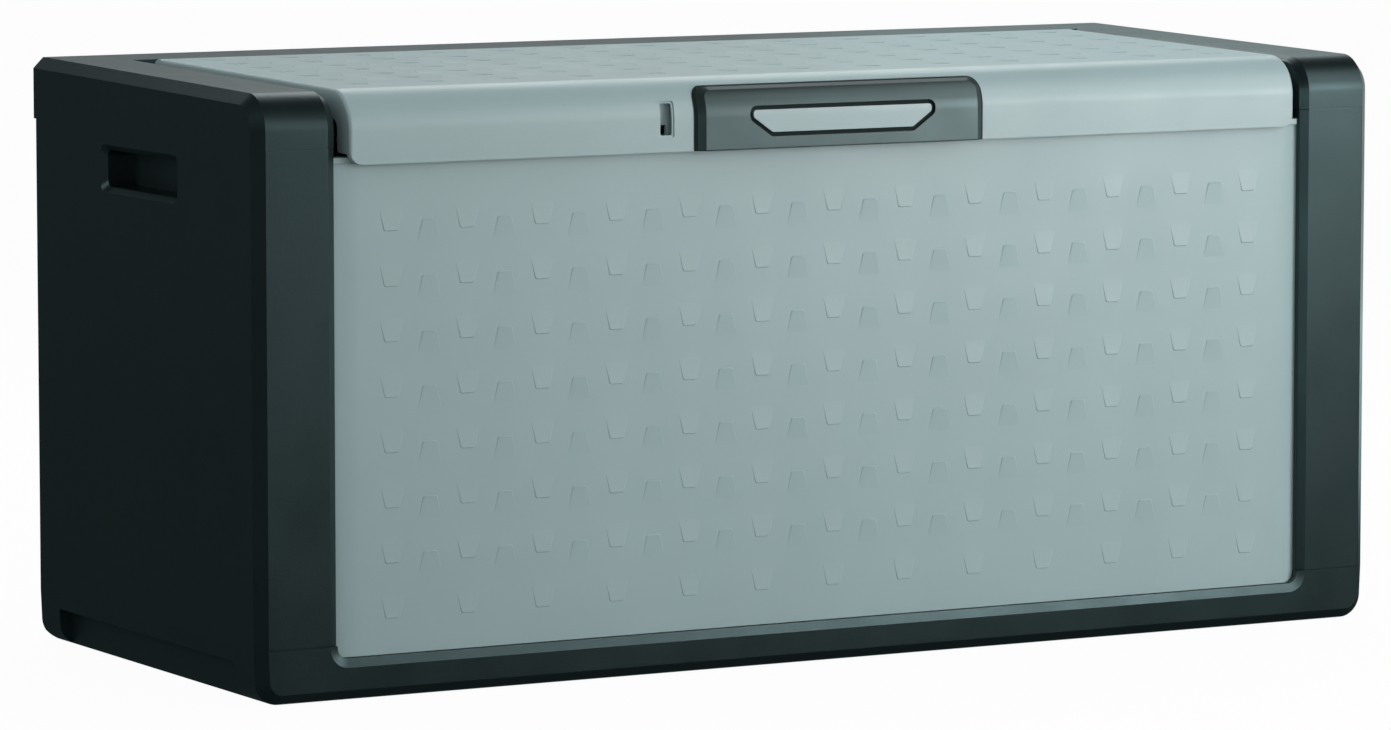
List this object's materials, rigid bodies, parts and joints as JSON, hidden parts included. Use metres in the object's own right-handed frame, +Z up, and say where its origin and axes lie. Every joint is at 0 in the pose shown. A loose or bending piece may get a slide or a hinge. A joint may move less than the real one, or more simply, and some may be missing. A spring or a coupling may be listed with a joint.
{
  "type": "deck storage box",
  "caption": "Resin deck storage box: dark corner posts, base and top frame, light front panel and a rolled hinged lid with a front grip, side hand grips and a padlock slot.",
  "frame": {"origin": "on the ground, under the middle of the overall box", "axes": "+X along the front from left to right, +Y from the front to the back, +Z up"},
  "size_m": [1.18, 0.49, 0.5491],
  "materials": {
    "dark_resin": "satin, fine grain",
    "light_resin": "satin, embossed pattern",
    "pin_resin": "smooth",
    "screw_steel": "zinc plated"
  },
  "bodies": {
    "box": {"base_tray": "dark_resin", "left_side_panel": "dark_resin", "right_side_panel": "dark_resin", "left_grip_cup": "dark_resin", "right_grip_cup": "dark_resin", "left_front_post": "dark_resin", "right_front_post": "dark_resin", "left_rear_post": "dark_resin", "right_rear_post": "dark_resin", "top_frame": "dark_resin", "front_panel": "light_resin", "back_panel": "light_resin", "front_top_rail": "light_resin", "left_hinge_pin": "pin_resin", "right_hinge_pin": "pin_resin", "frame_screws": "screw_steel"},
    "lid": {"lid_shell": "light_resin", "lid_handle": "dark_resin", "handle_inlay": "light_resin", "handle_screws": "screw_steel"}
  },
  "joints": [
    {"name": "lid_hinge", "type": "hinge", "parent": "box", "child": "lid", "pos_m": [0, 0.1615, 0.53508], "axis": [-1, 0, 0], "range_deg": [0, 100]}
  ]
}
